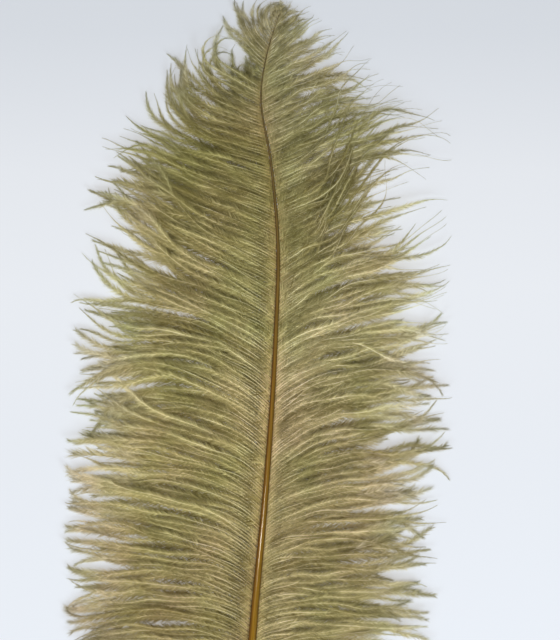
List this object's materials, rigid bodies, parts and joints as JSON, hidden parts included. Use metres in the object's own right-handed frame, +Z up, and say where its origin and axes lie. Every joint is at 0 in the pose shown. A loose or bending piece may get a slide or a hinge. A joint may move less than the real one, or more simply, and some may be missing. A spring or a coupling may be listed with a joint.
{
  "type": "ostrich feather",
  "caption": "Long ostrich plume lying back up: a tapered, arched shaft with a broad row of loose soft barbs falling to the surface on each side.",
  "frame": {"origin": "centre of the footprint, on the surface that the plume lies on", "axes": "+Y from the quill end to the plume's tip, +X to the right of the plume seen from its back, +Z up, out of the plume's back"},
  "size_m": [0.2228, 0.5975, 0.0249],
  "materials": {
    "shaft": "dyed keratin, amber brown, smooth and glossy along the back",
    "barbs": "dyed olive khaki down, soft and matt, paler where it is thin"
  },
  "bodies": {
    "root": {"shaft": "shaft", "left_barbs": "barbs", "right_barbs": "barbs"}
  },
  "joints": []
}
